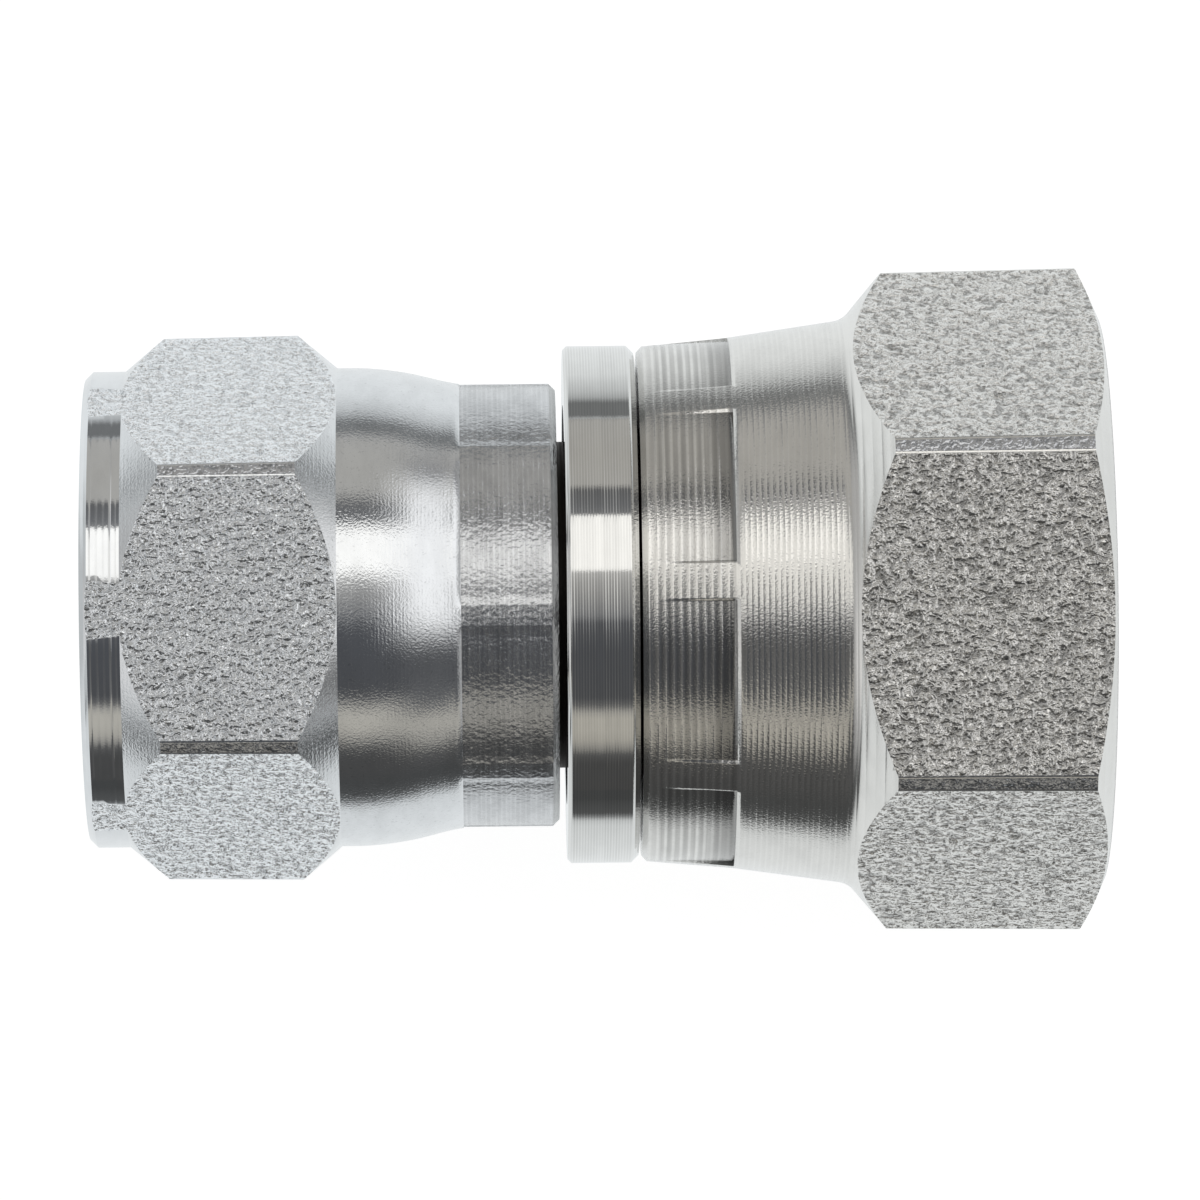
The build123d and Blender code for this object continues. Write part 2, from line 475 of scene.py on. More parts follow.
def round_corner(bm, x, radius, reach, segments):
    """Rounds the section's corner nearest to this place, from this reach on each side of it."""
    place = Vector((x * MM, 0, radius * MM))
    nearest = min(bm.verts, key=lambda v: (v.co - place).length)
    bmesh.ops.bevel(
        bm,
        geom=[nearest],
        offset=reach * MM,
        offset_type="OFFSET",
        segments=segments,
        profile=0.5,
        affect="VERTICES",
        clamp_overlap=True,
        material=-1,
    )


def add_rows(bm, outside, fine, coarse):
    """Divides the section's edges into rows no longer than fine or coarse, in millimetres.

    The fine ones are further out than the radius named outside.
    """
    for edge in bm.edges[:]:
        middle = (edge.verts[0].co + edge.verts[1].co) / 2 / MM
        spacing = fine if middle.z > outside else coarse
        cuts = math.ceil(edge.calc_length() / MM / spacing) - 1
        if cuts > 0:
            bmesh.ops.subdivide_edges(bm, edges=[edge], cuts=cuts)


def spin_section(bm, start=0.0):
    """Turns the section once round the flow axis, its first column at this angle from +Z."""
    bmesh.ops.rotate(bm, verts=bm.verts[:], cent=ORIGIN, matrix=Matrix.Rotation(start, 3, "X"))
    bmesh.ops.spin(
        bm,
        geom=bm.verts[:] + bm.edges[:],
        cent=ORIGIN,
        axis=X_AXIS,
        dvec=ORIGIN,
        angle=math.tau,
        steps=COLUMNS,
        use_merge=True,
        use_normal_flip=False,
        use_duplicate=False,
    )
    bmesh.ops.recalc_face_normals(bm, faces=bm.faces[:])


def radius_of(co):
    return math.hypot(co.y, co.z)


def angle_of(co):
    """The angle about +X from +Z, which is positive towards -Y."""
    return math.atan2(-co.y, co.z)


def outward(angle):
    return Vector((0, -math.sin(angle), math.cos(angle)))


def move_out(vert, height):
    """Moves a point away from the flow axis."""
    radius = radius_of(vert.co)
    vert.co.y *= (radius + height) / radius
    vert.co.z *= (radius + height) / radius


# Mesh: hexagon


def slice_off(bm, point, normal, finish):
    """Drops what is beyond a plane, and closes the cut with a face of this finish."""
    cut = bmesh.ops.bisect_plane(
        bm,
        geom=bm.verts[:] + bm.edges[:] + bm.faces[:],
        dist=CUT_TOLERANCE,
        plane_co=point,
        plane_no=normal,
        clear_outer=True,
    )
    rim = [e for e in cut["geom_cut"] if isinstance(e, bmesh.types.BMEdge)]
    for face in bmesh.ops.holes_fill(bm, edges=rim, sides=0)["faces"]:
        face.material_index = finish
        face.normal_update()
        if face.normal.dot(normal) < 0:
            face.normal_flip()


def cut_hexagon(bm, middle, flat_radius, corner_radius, turn):
    """Cuts six flats and six blunt corners, with these radii at the hexagon's middle."""
    for side in range(SIDES):
        for radius, angle, finish in (
            (flat_radius, turn + side * math.tau / SIDES, FLAT),
            (corner_radius, turn + (side + 0.5) * math.tau / SIDES, CORNER),
        ):
            across = outward(angle)
            tilted = (across * math.cos(DRAFT) - Vector(X_AXIS) * math.sin(DRAFT)).normalized()
            slice_off(bm, Vector((middle, 0, 0)) + across * radius, tilted, finish)


def soften_corners(bm):
    """Rounds the edges between the flats and the blunt corners, and leaves them bright."""
    between = [
        e for e in bm.edges if sorted(f.material_index for f in e.link_faces) == [FLAT, CORNER]
    ]
    rounded = bmesh.ops.bevel(
        bm,
        geom=between,
        offset=CORNER_REACH,
        offset_type="OFFSET",
        segments=3,
        profile=0.5,
        affect="EDGES",
        clamp_overlap=True,
        material=-1,
    )
    for face in rounded["faces"]:
        face.material_index = SKIRT


def divide_faces(bm, faces, direction, spacing):
    """Divides the faces by planes square to this direction, and returns what they become."""
    done, pending = [], list(faces)
    place = min(v.co.dot(direction) for f in faces for v in f.verts) + spacing
    while pending:
        crossed, beyond = [], []
        for face in pending:
            reach = [v.co.dot(direction) for v in face.verts]
            if max(reach) <= place + GRID_TOLERANCE:
                done.append(face)
            elif min(reach) < place - GRID_TOLERANCE:
                crossed.append(face)
            else:
                beyond.append(face)
        if crossed:
            geom = set(crossed)
            for face in crossed:
                geom.update(face.edges)
                geom.update(face.verts)
            cut = bmesh.ops.bisect_plane(
                bm,
                geom=list(geom),
                dist=GRID_TOLERANCE,
                plane_co=direction * place,
                plane_no=direction,
            )
            crossed = [f for f in cut["geom"] if isinstance(f, bmesh.types.BMFace)]
        pending = beyond + crossed
        place += spacing
    return done


def roughen_flats(bm, turn, spacing, height, frequency):
    """Divides the flats into a grid and gives them a grain of this height, but for their rims."""
    flats = divide_faces(
        bm, [f for f in bm.faces if f.material_index == FLAT], Vector(X_AXIS), spacing
    )
    for pair in range(SIDES // 2):
        across = outward(turn + pair * math.tau / SIDES)
        along = Vector(X_AXIS).cross(across)
        facing = [f for f in flats if abs(f.normal.dot(across)) > FACING]
        flats = [f for f in flats if abs(f.normal.dot(across)) <= FACING]
        gridded = divide_faces(bm, facing, along, spacing)
        for vert in {v for f in gridded for v in f.verts}:
            if all(f.material_index == FLAT for f in vert.link_faces):
                side = math.copysign(1, vert.co.dot(across))
                grain = height * noise.fractal(vert.co * frequency, *GRAIN_FRACTAL)
                vert.co += across * side * grain


def mark_edges(bm, rough_finish=None):
    """Shades the piece smooth but for its sharp edges, and a rough finish smooth all over."""
    for face in bm.faces:
        face.smooth = True
    for edge in bm.edges:
        rough = all(f.material_index == rough_finish for f in edge.link_faces)
        edge.smooth = rough or edge.calc_face_angle(0) < SHARP


# Mesh: crimping marks and threads


def press_dies(bm, low, high, first, sector, slope, bite, finish):
    """Presses eight marks of this finish, bite(x) deep, between two places along the axis.

    The first one starts at the angle first. Each spans the sector, and its sides slope up outside
    it over the angle slope.
    """
    band = [
        f
        for f in bm.faces
        if low - ROW_TOLERANCE < f.calc_center_median().x < high + ROW_TOLERANCE
        and radius_of(f.calc_center_median()) > OUTSIDE_RADIUS
    ]
    for die in range(DIE_COUNT // 2):
        for edge in (
            first - 2 * slope,
            first - slope,
            first + slope,
            first + sector - slope,
            first + sector + slope,
            first + sector + 2 * slope,
        ):
            angle = edge + die * math.tau / DIE_COUNT
            geom = set(band)
            for face in band:
                geom.update(face.edges)
                geom.update(face.verts)
            cut = bmesh.ops.bisect_plane(
                bm,
                geom=list(geom),
                dist=CUT_TOLERANCE,
                plane_co=ORIGIN,
                plane_no=Vector(X_AXIS).cross(outward(angle)),
            )
            band = [f for f in cut["geom"] if isinstance(f, bmesh.types.BMFace)]
    for vert in {v for f in band for v in f.verts}:
        turned = (angle_of(vert.co) - first + ANGLE_TOLERANCE) % (math.tau / DIE_COUNT)
        if turned <= sector + 2 * ANGLE_TOLERANCE and low < vert.co.x < high:
            move_out(vert, -bite(vert.co.x))
    for face in band:
        turned = (angle_of(face.calc_center_median()) - first) % (math.tau / DIE_COUNT)
        if turned < sector:
            face.material_index = finish


def add_thread(bm, start, end, pitch, root, crest, crest_width, flank, finish):
    """Winds a right-handed ridge inside a bore, which fades into the wall at both ends.

    The bore has the root radius, the ridge rises to the crest radius, and start is less than end.
    """
    ridge = bmesh.new()
    base = root + THREAD_SINK
    half_crest = crest_width / 2
    half_base = half_crest + (base - crest) * math.tan(flank)
    corners = [
        ridge.verts.new((start + x, 0, radius))
        for x, radius in (
            (-half_base, base),
            (-half_crest, crest),
            (half_crest, crest),
            (half_base, base),
        )
    ]
    loop = [ridge.edges.new(pair) for pair in zip(corners, corners[1:] + corners[:1])]
    turns = (end - start) / pitch
    steps = round(turns * THREAD_COLUMNS)
    last = bmesh.ops.spin(
        ridge,
        geom=corners + loop,
        cent=ORIGIN,
        axis=X_AXIS,
        dvec=(pitch / THREAD_COLUMNS, 0, 0),
        angle=math.tau * steps / THREAD_COLUMNS,
        steps=steps,
        use_merge=False,
        use_normal_flip=False,
        use_duplicate=False,
    )["geom_last"]
    last_loop = [e for e in last if isinstance(e, bmesh.types.BMEdge)]
    bmesh.ops.holes_fill(ridge, edges=loop + last_loop, sides=0)
    for vert in ridge.verts:
        turned = angle_of(vert.co) / math.tau
        turn = turned + round((vert.co.x - start) / pitch - turned)
        share = max(0.0, min(1.0, turn / THREAD_FADE, (turns - turn) / THREAD_FADE))
        move_out(vert, (base - radius_of(vert.co)) * (1 - share))
    bmesh.ops.recalc_face_normals(ridge, faces=ridge.faces[:])
    for face in ridge.faces:
        face.material_index = finish
        face.smooth = True
    for edge in ridge.edges:
        edge.smooth = edge.calc_face_angle(0) < SHARP
    mesh = bpy.data.meshes.new("thread")
    ridge.to_mesh(mesh)
    ridge.free()
    bm.from_mesh(mesh)
    bpy.data.meshes.remove(mesh)


# Objects


def sort_skirt(bm, bore_radius, crimp_end, nose_start):
    """Gives the faces still marked SKIRT the finish of their place.

    The crimped part ends, and the nose or chamfer starts, at these distances from X = 0.
    """
    for face in bm.faces:
        if face.material_index != SKIRT:
            continue
        middle = face.calc_center_median()
        if radius_of(middle) < bore_radius:
            face.material_index = BORE
        elif abs(middle.x) < crimp_end:
            face.material_index = CRIMP
        elif abs(middle.x) > nose_start:
            face.material_index = NOSE


def make_piece(bm, name, body, node, finishes):
    """Makes a finished mesh a piece that stands for a solid and rides on its body."""
    mesh = bpy.data.meshes.new(name)
    bm.to_mesh(mesh)
    bm.free()
    for finish in finishes:
        mesh.materials.append(finish)
    piece = bpy.data.objects.new(name, mesh)
    bpy.context.scene.collection.objects.link(piece)
    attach(piece, body)
    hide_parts(node)
    return piece


# Finishes


class Tree:
    """Adds nodes to the tree of a material or a world."""

    def __init__(self, owner):
        owner.use_nodes = True
        self.tree = owner.node_tree
        self.tree.nodes.clear()

    def add(self, kind, inputs=None, **settings):
        """Makes a node, and gives each named input a value or links it to a socket."""
        node = self.tree.nodes.new(kind)
        for name, value in settings.items():
            setattr(node, name, value)
        for name, value in (inputs or {}).items():
            if isinstance(value, bpy.types.NodeSocket):
                self.tree.links.new(value, node.inputs[name])
            else:
                node.inputs[name].default_value = value
        return node

    def math(self, operation, *values):
        inputs = dict(enumerate(values))
        return self.add("ShaderNodeMath", inputs, operation=operation).outputs[0]

    def noise(self, vector, scale, detail=2.0, roughness=0.5, distortion=0.0):
        inputs = {
            "Vector": vector,
            "Scale": scale,
            "Detail": detail,
            "Roughness": roughness,
            "Distortion": distortion,
        }
        return self.add("ShaderNodeTexNoise", inputs).outputs["Fac"]

    def line_noise(self, place, scale, detail=1.0):
        """Noise that changes along one coordinate only."""
        inputs = {"W": place, "Scale": scale, "Detail": detail}
        return self.add("ShaderNodeTexNoise", inputs, noise_dimensions="1D").outputs["Fac"]

    def stretched(self, vector, along, around):
        """Coordinates drawn out round the axis: more cycles along it than around it."""
        inputs = {"Vector": vector, "Scale": (along, around, around)}
        return self.add("ShaderNodeMapping", inputs).outputs[0]

    def band(self, value, low, high, out_low, out_high):
        inputs = {
            "Value": value,
            "From Min": low,
            "From Max": high,
            "To Min": out_low,
            "To Max": out_high,
        }
        node = self.add("ShaderNodeMapRange", inputs, interpolation_type="SMOOTHSTEP")
        return node.outputs["Result"]

    def tint(self, factor, first, second):
        inputs = {0: factor, 6: first, 7: second}
        return self.add("ShaderNodeMix", inputs, data_type="RGBA").outputs[2]

    def ramp(self, factor, stops):
        """A ramp through these stops, each given as (place, colour)."""
        node = self.add("ShaderNodeValToRGB", {"Fac": factor})
        elements = node.color_ramp.elements
        while len(elements) < len(stops):
            elements.new(0.5)
        for element, (place, colour) in zip(elements, stops):
            element.position = place
            element.color = colour
        return node.outputs["Color"]


def shade(colour, factor):
    return tuple(c * factor for c in colour) + (1,)


def warm(level, warmth):
    """A light of this level, with less blue the warmer it is."""
    return (level, level * (1 - 0.3 * warmth), level * (1 - warmth), 1)


def turned_zinc(
    name,
    colour,
    roughness=0.08,
    feed=0.2 * MM,
    depth=0.0,
    wander=0.4,
    streak=0.0,
    hair=0.0,
    grain=0.0,
    grain_size=0.09 * MM,
    blotch=0.15,
    speckle=0.0,
    groove_shading=0.0,
    shadow=None,
):
    """Bright zinc over turned grooves.

    The grooves have this feed and depth and wander by this share of the feed. Streaks are long,
    hairs are short, grain is as long as wide, and each is given by its height. Blotches and
    speckles are darker. Groove shading paints shade into the valleys of the grooves, and the
    shadow is a painted shadow, given by the X where it starts and the X where it is deepest.
    """
    material = bpy.data.materials.new(name)
    tree = Tree(material)
    place = tree.add("ShaderNodeTexCoord").outputs["Object"]
    x = tree.add("ShaderNodeSeparateXYZ", {"Vector": place}).outputs["X"]

    shift = tree.math("MULTIPLY", tree.line_noise(x, DRIFT), wander)
    cycle = tree.math("ADD", tree.math("DIVIDE", x, feed), shift)
    across = tree.math("SUBTRACT", tree.math("FRACT", cycle), 0.5)
    groove = tree.math("MULTIPLY", tree.math("MULTIPLY", across, across), 4.0)
    strength = tree.band(tree.line_noise(x, WEAR), 0.3, 0.7, 0.55, 1.1)
    groove = tree.math("MULTIPLY", tree.math("MULTIPLY", groove, strength), depth)
    long_marks = tree.noise(tree.stretched(place, *STREAKS), 1.0, 2.0, 0.5)
    hairs = tree.noise(tree.stretched(place, *HAIRS), 1.0, 3.0, 0.6)
    grains = tree.noise(place, 1 / grain_size, 2.0, 0.5)
    height = tree.math("ADD", groove, tree.math("MULTIPLY", hairs, hair))
    height = tree.math("ADD", height, tree.math("MULTIPLY", long_marks, streak))
    height = tree.math("ADD", height, tree.math("MULTIPLY", grains, grain))
    bump = tree.add("ShaderNodeBump", {"Strength": 1.0, "Distance": 1.0, "Height": height})

    cloud = tree.noise(tree.stretched(place, *CLOUDS), 1.0, 4.0, 0.65)
    worn = tree.band(cloud, 0.35, 0.7, 0.0, blotch)
    finish = tree.tint(worn, shade(colour, 1.0), shade(colour, WORN_SHADE))
    if groove_shading:
        # painted shade: the valleys of the grooves drawn darker
        valley_shade = tree.band(tree.math("ABSOLUTE", across), 0.2, 0.45, groove_shading, 0.0)
        dark = tree.math("MULTIPLY", valley_shade, strength)
        finish = tree.tint(dark, finish, shade(colour, GROOVE_SHADE))
    if shadow:
        dark = tree.band(x, *shadow, 0.0, SHADOW_STRENGTH)
        finish = tree.tint(dark, finish, shade(colour, GROOVE_SHADE))
    if speckle:
        spots = tree.band(tree.noise(place, SPECKS, 3.0, 0.7), 0.60, 0.68, 0.0, speckle)
        finish = tree.tint(spots, finish, shade(colour, SPECK_SHADE))
    inputs = {
        "Base Color": finish,
        "Metallic": 1.0,
        "Roughness": tree.band(long_marks, 0.3, 0.7, roughness * 0.85, roughness * 1.2),
        "Normal": bump.outputs["Normal"],
    }
    shader = tree.add("ShaderNodeBsdfPrincipled", inputs)
    tree.add("ShaderNodeOutputMaterial", {"Surface": shader.outputs[0]})
    return material


def rough_zinc(name, colour, roughness, size, height, pit_shading):
    """Bright zinc over a forged skin: knobs of this size and height, with painted shade between.
    """
    material = bpy.data.materials.new(name)
    tree = Tree(material)
    place = tree.add("ShaderNodeTexCoord").outputs["Object"]
    knobs = tree.noise(place, 1 / size, 1.0, 0.5, 0.6)
    fine = tree.noise(place, 2.3 / size, 1.0, 0.5, 0.3)
    relief = tree.math("ADD", knobs, tree.math("MULTIPLY", fine, 0.3))
    bump = tree.add(
        "ShaderNodeBump",
        {"Strength": 1.0, "Distance": 1.0, "Height": tree.math("MULTIPLY", relief, height)},
    )
    # painted shade: the low places between the knobs drawn darker
    deep = tree.band(relief, 0.54, 0.64, pit_shading, 0.0)
    finish = tree.tint(deep, shade(colour, 1.0), shade(colour, PIT_SHADE))
    inputs = {
        "Base Color": finish,
        "Metallic": 1.0,
        "Roughness": roughness,
        "Normal": bump.outputs["Normal"],
    }
    shader = tree.add("ShaderNodeBsdfPrincipled", inputs)
    tree.add("ShaderNodeOutputMaterial", {"Surface": shader.outputs[0]})
    return material


# Operators


class ADAPTER_OT_body(bpy.types.Operator):
    """Model the turned body: collar, heads, flare seat, cone and bore"""

    bl_idname = "adapter.body"
    bl_label = "Turned Body"

    def execute(self, context):
        sizes = context.scene.adapter_body
        bm = half_section(BODY_SECTION)
        add_rows(bm, outside=11.6, fine=0.3, coarse=0.9)
        spin_section(bm)
        for face in bm.faces:
            middle = face.calc_center_median()
            if radius_of(middle) > COLLAR_RADIUS:
                face.material_index = COLLAR
            elif abs(middle.x) < NECK_REACH and radius_of(middle) > NECK_RADIUS:
                face.material_index = NECK
            else:
                face.material_index = INSIDE
        mark_edges(bm)
        finishes = [
            turned_zinc(
                "collar_zinc",
                sizes.colour,
                roughness=0.04,
                feed=sizes.feed,
                depth=4.5 * MICRON,
                wander=0.2,
                streak=1 * MICRON,
                grain=0.5 * MICRON,
                blotch=0.1,
                groove_shading=0.2,
            ),
            turned_zinc(
                "bore_zinc",
                sizes.colour,
                roughness=0.2,
                depth=6 * MICRON,
                hair=2 * MICRON,
                blotch=0.3,
            ),
            # painted shade: the neck deep in the gaps beside the collar is drawn near black
            turned_zinc(
                "neck_painted_shade",
                GAP_SHADE_COLOUR,
                roughness=0.5,
                depth=4 * MICRON,
                hair=2 * MICRON,
            ),
        ]
        make_piece(bm, "turned_body", "body", "adapter_body", finishes)
        return {"FINISHED"}


class ADAPTER_OT_small_nut(bpy.types.Operator):
    """Model the small swivel nut: crimped band, taper, barrel, rough hexagon, nose and thread"""

    bl_idname = "adapter.small_nut"
    bl_label = "Small Swivel Nut"

    def execute(self, context):
        sizes = context.scene.adapter_small_nut
        bm = half_section(SMALL_NUT_SECTION)
        round_corner(bm, -7.01, 10.44, reach=0.4, segments=4)
        round_corner(bm, -9.81, 11.14, reach=1.5, segments=8)
        add_rows(bm, outside=9.95, fine=0.3, coarse=0.8)
        spin_section(bm)
        cut_hexagon(bm, *SMALL_HEXAGON, turn=0.0)
        soften_corners(bm)
        roughen_flats(bm, 0.0, sizes.grid, sizes.grain_height, frequency=2400)
        press_dies(
            bm,
            low=-6.4605 * MM,
            high=-2.3 * MM,
            first=math.radians(6.5),
            sector=math.radians(37),
            slope=math.radians(3.4),
            bite=lambda x: 0.07 * MM,
            finish=CRIMP,
        )
        sort_skirt(bm, OUTSIDE_RADIUS, crimp_end=6.47 * MM, nose_start=21.9 * MM)
        mark_edges(bm, FLAT)
        add_thread(
            bm,
            start=-22.8 * MM,
            end=-12.7 * MM,
            pitch=sizes.thread_pitch,
            root=9.525 * MM,
            crest=8.75 * MM,
            crest_width=0.397 * MM,
            flank=math.radians(30),
            finish=BORE,
        )
        colour = sizes.colour
        finishes = [
            turned_zinc(
                "small_skirt_zinc",
                colour,
                roughness=0.06,
                feed=0.17 * MM,
                depth=1.6 * MICRON,
                hair=1.6 * MICRON,
                grain=9 * MICRON,
                grain_size=0.1 * MM,
                blotch=0.2,
                speckle=0.2,
            ),
            rough_zinc(
                "small_flat_zinc",
                FLAT_COLOUR,
                roughness=0.05,
                size=0.36 * MM,
                height=700 * MICRON,
                pit_shading=0.1,
            ),
            rough_zinc(
                "small_corner_zinc",
                CORNER_COLOUR,
                roughness=0.16,
                size=0.3 * MM,
                height=110 * MICRON,
                pit_shading=0.3,
            ),
            turned_zinc(
                "small_crimp_zinc",
                CRIMP_COLOUR,
                roughness=0.22,
                feed=0.23 * MM,
                depth=5 * MICRON,
                wander=1.0,
                hair=9 * MICRON,
                grain=34 * MICRON,
                grain_size=0.22 * MM,
                blotch=0.4,
                groove_shading=0.15,
            ),
            turned_zinc(
                "small_nose_zinc",
                colour,
                roughness=0.06,
                feed=0.3 * MM,
                depth=11 * MICRON,
                wander=1.2,
                streak=3 * MICRON,
                grain=1 * MICRON,
            ),
            turned_zinc(
                "small_bore_zinc",
                colour,
                roughness=0.25,
                depth=4 * MICRON,
                hair=2 * MICRON,
                blotch=0.4,
            ),
        ]
        make_piece(bm, "small_nut", "small_nut", "small_swivel_nut", finishes)
        return {"FINISHED"}


class ADAPTER_OT_large_nut(bpy.types.Operator):
    """Model the large swivel nut: stepped skirt with its die marks, rough hexagon and thread"""

    bl_idname = "adapter.large_nut"
    bl_label = "Large Swivel Nut"

    def execute(self, context):
        sizes = context.scene.adapter_large_nut
        turn = sizes.turn
        first = turn + MARK_MIDDLE - MARK_COLUMNS / 2 * COLUMN
        bm = half_section(LARGE_NUT_SECTION)
        round_corner(bm, 11.4, 13.139, reach=0.38, segments=5)
        add_rows(bm, outside=11.0, fine=0.3, coarse=0.8)
        spin_section(bm, first)
        cut_hexagon(bm, *LARGE_HEXAGON, turn)
        soften_corners(bm)
        roughen_flats(bm, turn, sizes.grid, sizes.grain_height, frequency=2200)
        press_dies(
            bm,
            low=MARK_START,
            high=6.045 * MM,
            first=first,
            sector=MARK_COLUMNS * COLUMN,
            slope=math.radians(0.28),
            bite=lambda x: MARK_DEPTH * (x - MARK_START) / MARK_LENGTH,
            finish=MARK,
        )
        sort_skirt(bm, 11 * MM, crimp_end=6.065 * MM, nose_start=11.3 * MM)
        mark_edges(bm, FLAT)
        add_thread(
            bm,
            start=12.0 * MM,
            end=22.15 * MM,
            pitch=sizes.thread_pitch,
            root=10.475 * MM,
            crest=9.315 * MM,
            crest_width=0.3 * MM,
            flank=math.radians(27.5),
            finish=BORE,
        )
        colour = sizes.colour
        crimped = {
            "roughness": 0.1,
            "feed": 0.36 * MM,
            "depth": 17 * MICRON,
            "wander": 0.3,
            "hair": 1.2 * MICRON,
            "grain": 13 * MICRON,
            "grain_size": 0.1 * MM,
            "blotch": 0.3,
            "speckle": 0.1,
        }
        finishes = [
            turned_zinc(
                "large_skirt_zinc",
                colour,
                roughness=0.07,
                feed=sizes.feed,
                depth=12 * MICRON,
                hair=1.2 * MICRON,
                grain=11 * MICRON,
                grain_size=0.1 * MM,
                speckle=0.1,
                groove_shading=0.08,
            ),
            rough_zinc(
                "large_flat_zinc",
                colour,
                roughness=0.05,
                size=0.38 * MM,
                height=620 * MICRON,
                pit_shading=0.45,
            ),
            rough_zinc(
                "large_corner_zinc",
                CORNER_COLOUR,
                roughness=0.16,
                size=0.3 * MM,
                height=110 * MICRON,
                pit_shading=0.3,
            ),
            turned_zinc("large_crimp_zinc", colour, groove_shading=0.3, **crimped),
            turned_zinc(
                "large_chamfer_zinc",
                colour,
                roughness=0.16,
                feed=0.4 * MM,
                depth=12 * MICRON,
                wander=0.8,
                grain=3 * MICRON,
            ),
            turned_zinc(
                "large_bore_zinc",
                colour,
                roughness=0.25,
                depth=4 * MICRON,
                hair=2 * MICRON,
                blotch=0.4,
            ),
            turned_zinc(
                "large_mark_zinc",
                colour,
                groove_shading=0.5,
                shadow=(4.2 * MM, 6.0 * MM),
                **crimped,
            ),
        ]
        make_piece(bm, "large_nut", "large_nut", "large_swivel_nut", finishes)
        return {"FINISHED"}


class ADAPTER_OT_stage(bpy.types.Operator):
    """Set the pale floor, the studio light and the camera"""

    bl_idname = "adapter.stage"
    bl_label = "Stage"

    def execute(self, context):
        sizes = context.scene.adapter_stage
        lay_floor(sizes)
        light_studio()
        place_camera(sizes)
        context.scene.view_settings.view_transform = "Standard"
        return {"FINISHED"}


def lay_floor(sizes):
    """A white floor, which the metal sees as a pool of light between darker bands."""
    bm = bmesh.new()
    low = CAD_BOX[0].z
    bmesh.ops.create_grid(bm, x_segments=8, y_segments=8, size=sizes.floor_size / 2)
    bmesh.ops.translate(bm, verts=bm.verts[:], vec=(0, 0, low))
    mesh = bpy.data.meshes.new("floor")
    bm.to_mesh(mesh)
    bm.free()
    floor = bpy.data.objects.new("floor", mesh)
    bpy.context.scene.collection.objects.link(floor)

    material = bpy.data.materials.new("floor_white")
    mesh.materials.append(material)
    tree = Tree(material)
    place = tree.add("ShaderNodeTexCoord").outputs["Object"]
    parts = tree.add("ShaderNodeSeparateXYZ", {"Vector": place}).outputs
    away = tree.math("ABSOLUTE", parts["Y"])
    span = tree.math("ADD", away, FLOOR_SPAN)
    share = tree.math("DIVIDE", away, span)
    before, behind = (
        tree.ramp(
            share,
            [(reach / (reach + FLOOR_SPAN), shade(FLOOR_COLOUR, level)) for reach, level in stops],
        )
        for stops in (FLOOR_BEFORE, FLOOR_BEHIND)
    )
    bands = tree.tint(tree.band(parts["Y"], -FLOOR_SEAM, FLOOR_SEAM, 0.0, 1.0), before, behind)
    slant = tree.math("DIVIDE", tree.math("ABSOLUTE", parts["X"]), span)
    ends = tree.band(slant, *FLOOR_ENDS, 0.0, 1.0)
    pool = tree.tint(ends, bands, shade(FLOOR_COLOUR, FLOOR_ENDS_LEVEL))
    path = tree.add("ShaderNodeLightPath")
    seen = tree.math("MAXIMUM", path.outputs["Is Camera Ray"], path.outputs["Is Transmission Ray"])
    glow = tree.add("ShaderNodeEmission", {"Color": shade(WHITE, 1.0), "Strength": FLOOR_GLOW})
    glossy = tree.add("ShaderNodeEmission", {"Color": pool, "Strength": 1.0})
    matt = tree.add("ShaderNodeBsdfDiffuse", {"Color": shade(WHITE, FLOOR_MATT)})
    shown = tree.add("ShaderNodeAddShader", {0: glow.outputs[0], 1: matt.outputs[0]})
    plain = tree.add("ShaderNodeBsdfDiffuse", {"Color": shade(WHITE, FLOOR_PLAIN)})
    first = tree.add("ShaderNodeMixShader", {0: seen, 1: plain.outputs[0], 2: shown.outputs[0]})
    whole = tree.add(
        "ShaderNodeMixShader",
        {0: path.outputs["Is Glossy Ray"], 1: first.outputs[0], 2: glossy.outputs[0]},
    )
    tree.add("ShaderNodeOutputMaterial", {"Surface": whole.outputs[0]})


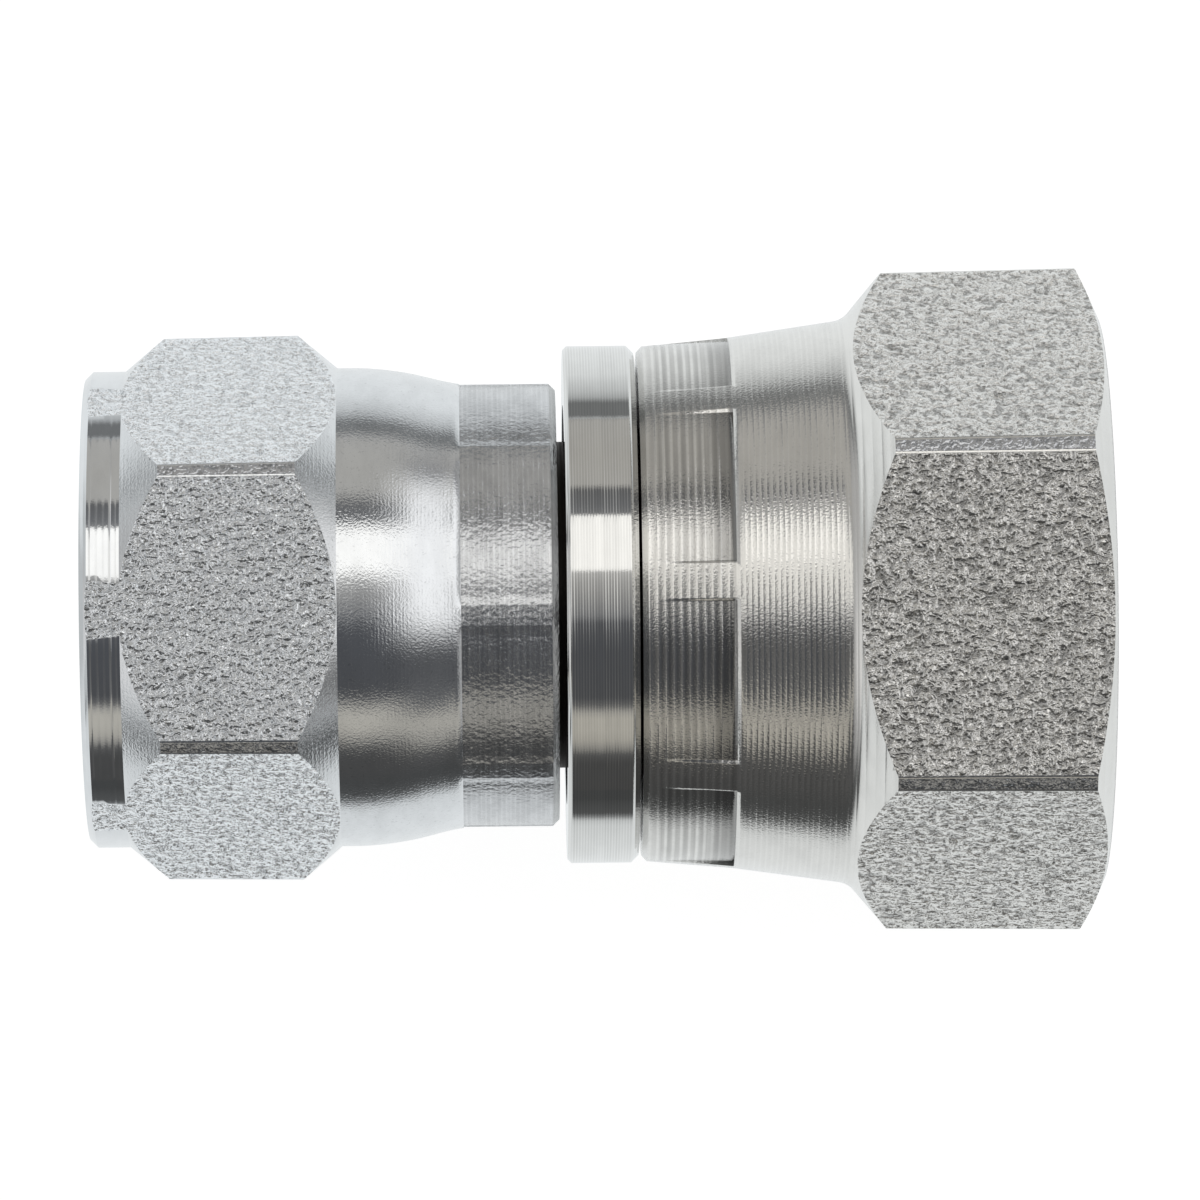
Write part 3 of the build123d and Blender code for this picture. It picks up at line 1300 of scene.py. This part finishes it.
def light_studio():
    """Long strips of soft light above the adapter, parallel to its axis, between dark gaps."""
    world = bpy.data.worlds.new("studio")
    bpy.context.scene.world = world
    tree = Tree(world)
    direction = tree.add("ShaderNodeTexCoord").outputs["Generated"]
    parts = tree.add("ShaderNodeSeparateXYZ", {"Vector": direction}).outputs
    angle = tree.math("ARCTAN2", parts["Y"], parts["Z"])
    endwise = tree.math("ABSOLUTE", parts["X"])
    leaning = tree.math("MAXIMUM", tree.math("MULTIPLY", parts["X"], -1.0), 0.0)
    spread = tree.math("MULTIPLY", tree.math("POWER", leaning, 2.0), STRIP_SPREAD)
    angle = tree.math("MULTIPLY", angle, tree.math("ADD", spread, 1.0))
    around = tree.math("ADD", tree.math("DIVIDE", angle, math.tau), 0.5)
    square, small_end, large_end = (
        tree.ramp(
            around,
            [(0.5 + degrees / 360, warm(level, warmth)) for degrees, level, warmth in strips],
        )
        for strips in (SQUARE_LIGHT, SMALL_END_LIGHT, LARGE_END_LIGHT)
    )
    towards_large = tree.band(parts["X"], -END_SEAM, END_SEAM, 0.0, 1.0)
    leaning_small = tree.band(endwise, *SMALL_END_SLANT, 0.0, 1.0)
    leaning_large = tree.band(endwise, *LARGE_END_SLANT, 0.0, 1.0)
    light = tree.tint(
        towards_large,
        tree.tint(leaning_small, square, small_end),
        tree.tint(leaning_large, square, large_end),
    )
    light = tree.tint(tree.band(endwise, *WALL_SLANT, 0.0, 1.0), light, warm(WALL_LIGHT, 0.0))
    small_wall = tree.band(parts["Y"], *SMALL_END_WALL)
    large_wall = tree.math(
        "MULTIPLY",
        tree.band(parts["Y"], *LARGE_END_WALL),
        tree.band(parts["Y"], *LARGE_END_WALL_DIMMING),
    )
    ends = tree.band(endwise, *END_WALL_SLANT, 0.0, 1.0)
    light = tree.tint(ends, light, tree.tint(towards_large, small_wall, large_wall))
    path = tree.add("ShaderNodeLightPath")
    seen = tree.math("MAXIMUM", path.outputs["Is Camera Ray"], path.outputs["Is Transmission Ray"])
    studio = tree.add("ShaderNodeBackground", {"Color": light, "Strength": 1.0})
    white = tree.add("ShaderNodeBackground", {"Color": shade(WHITE, 1.0), "Strength": 1.0})
    mixed = tree.add("ShaderNodeMixShader", {0: seen, 1: studio.outputs[0], 2: white.outputs[0]})
    tree.add("ShaderNodeOutputWorld", {"Surface": mixed.outputs[0]})


def place_camera(sizes):
    """Looks straight down on the adapter."""
    data = bpy.data.cameras.new("camera")
    data.lens = sizes.lens
    data.sensor_width = CAMERA_SENSOR
    data.clip_start, data.clip_end = CAMERA_CLIP
    camera = bpy.data.objects.new("camera", data)
    bpy.context.scene.collection.objects.link(camera)
    facing = Matrix.Rotation(-sizes.yaw, 4, "Y") @ Matrix.Rotation(-sizes.roll, 4, "Z")
    camera.matrix_world = facing @ Matrix.Translation((0, CAMERA_LIFT, sizes.distance))
    bpy.context.scene.camera = camera


class ADAPTER_PT_panel(bpy.types.Panel):
    """Lists the pieces of the adapter and their sizes."""

    bl_idname = "ADAPTER_PT_panel"
    bl_label = "Swivel Adapter"
    bl_space_type = "VIEW_3D"
    bl_region_type = "UI"
    bl_category = "Adapter"

    def draw(self, context):
        for operator, settings in STEPS:
            box = self.layout.box()
            box.operator(operator)
            group = getattr(context.scene, settings)
            for name in group.bl_rna.properties.keys():
                if name not in ("rna_type", "name"):
                    box.prop(group, name)


STEPS = (
    ("adapter.body", "adapter_body"),
    ("adapter.small_nut", "adapter_small_nut"),
    ("adapter.large_nut", "adapter_large_nut"),
    ("adapter.stage", "adapter_stage"),
)
SETTINGS = {
    "adapter_body": BodyProperties,
    "adapter_small_nut": SmallNutProperties,
    "adapter_large_nut": LargeNutProperties,
    "adapter_stage": StageProperties,
}
CLASSES = (
    *SETTINGS.values(),
    ADAPTER_OT_body,
    ADAPTER_OT_small_nut,
    ADAPTER_OT_large_nut,
    ADAPTER_OT_stage,
    ADAPTER_PT_panel,
)


def register():
    for each in CLASSES:
        bpy.utils.register_class(each)
    for name, group in SETTINGS.items():
        setattr(bpy.types.Scene, name, PointerProperty(type=group))


def unregister():
    for name in SETTINGS:
        delattr(bpy.types.Scene, name)
    for each in reversed(CLASSES):
        bpy.utils.unregister_class(each)


def main():
    register()
    bpy.ops.adapter.body()
    bpy.ops.adapter.small_nut()
    bpy.ops.adapter.large_nut()
    bpy.ops.adapter.stage()


if __name__ == "__main__":
    main()
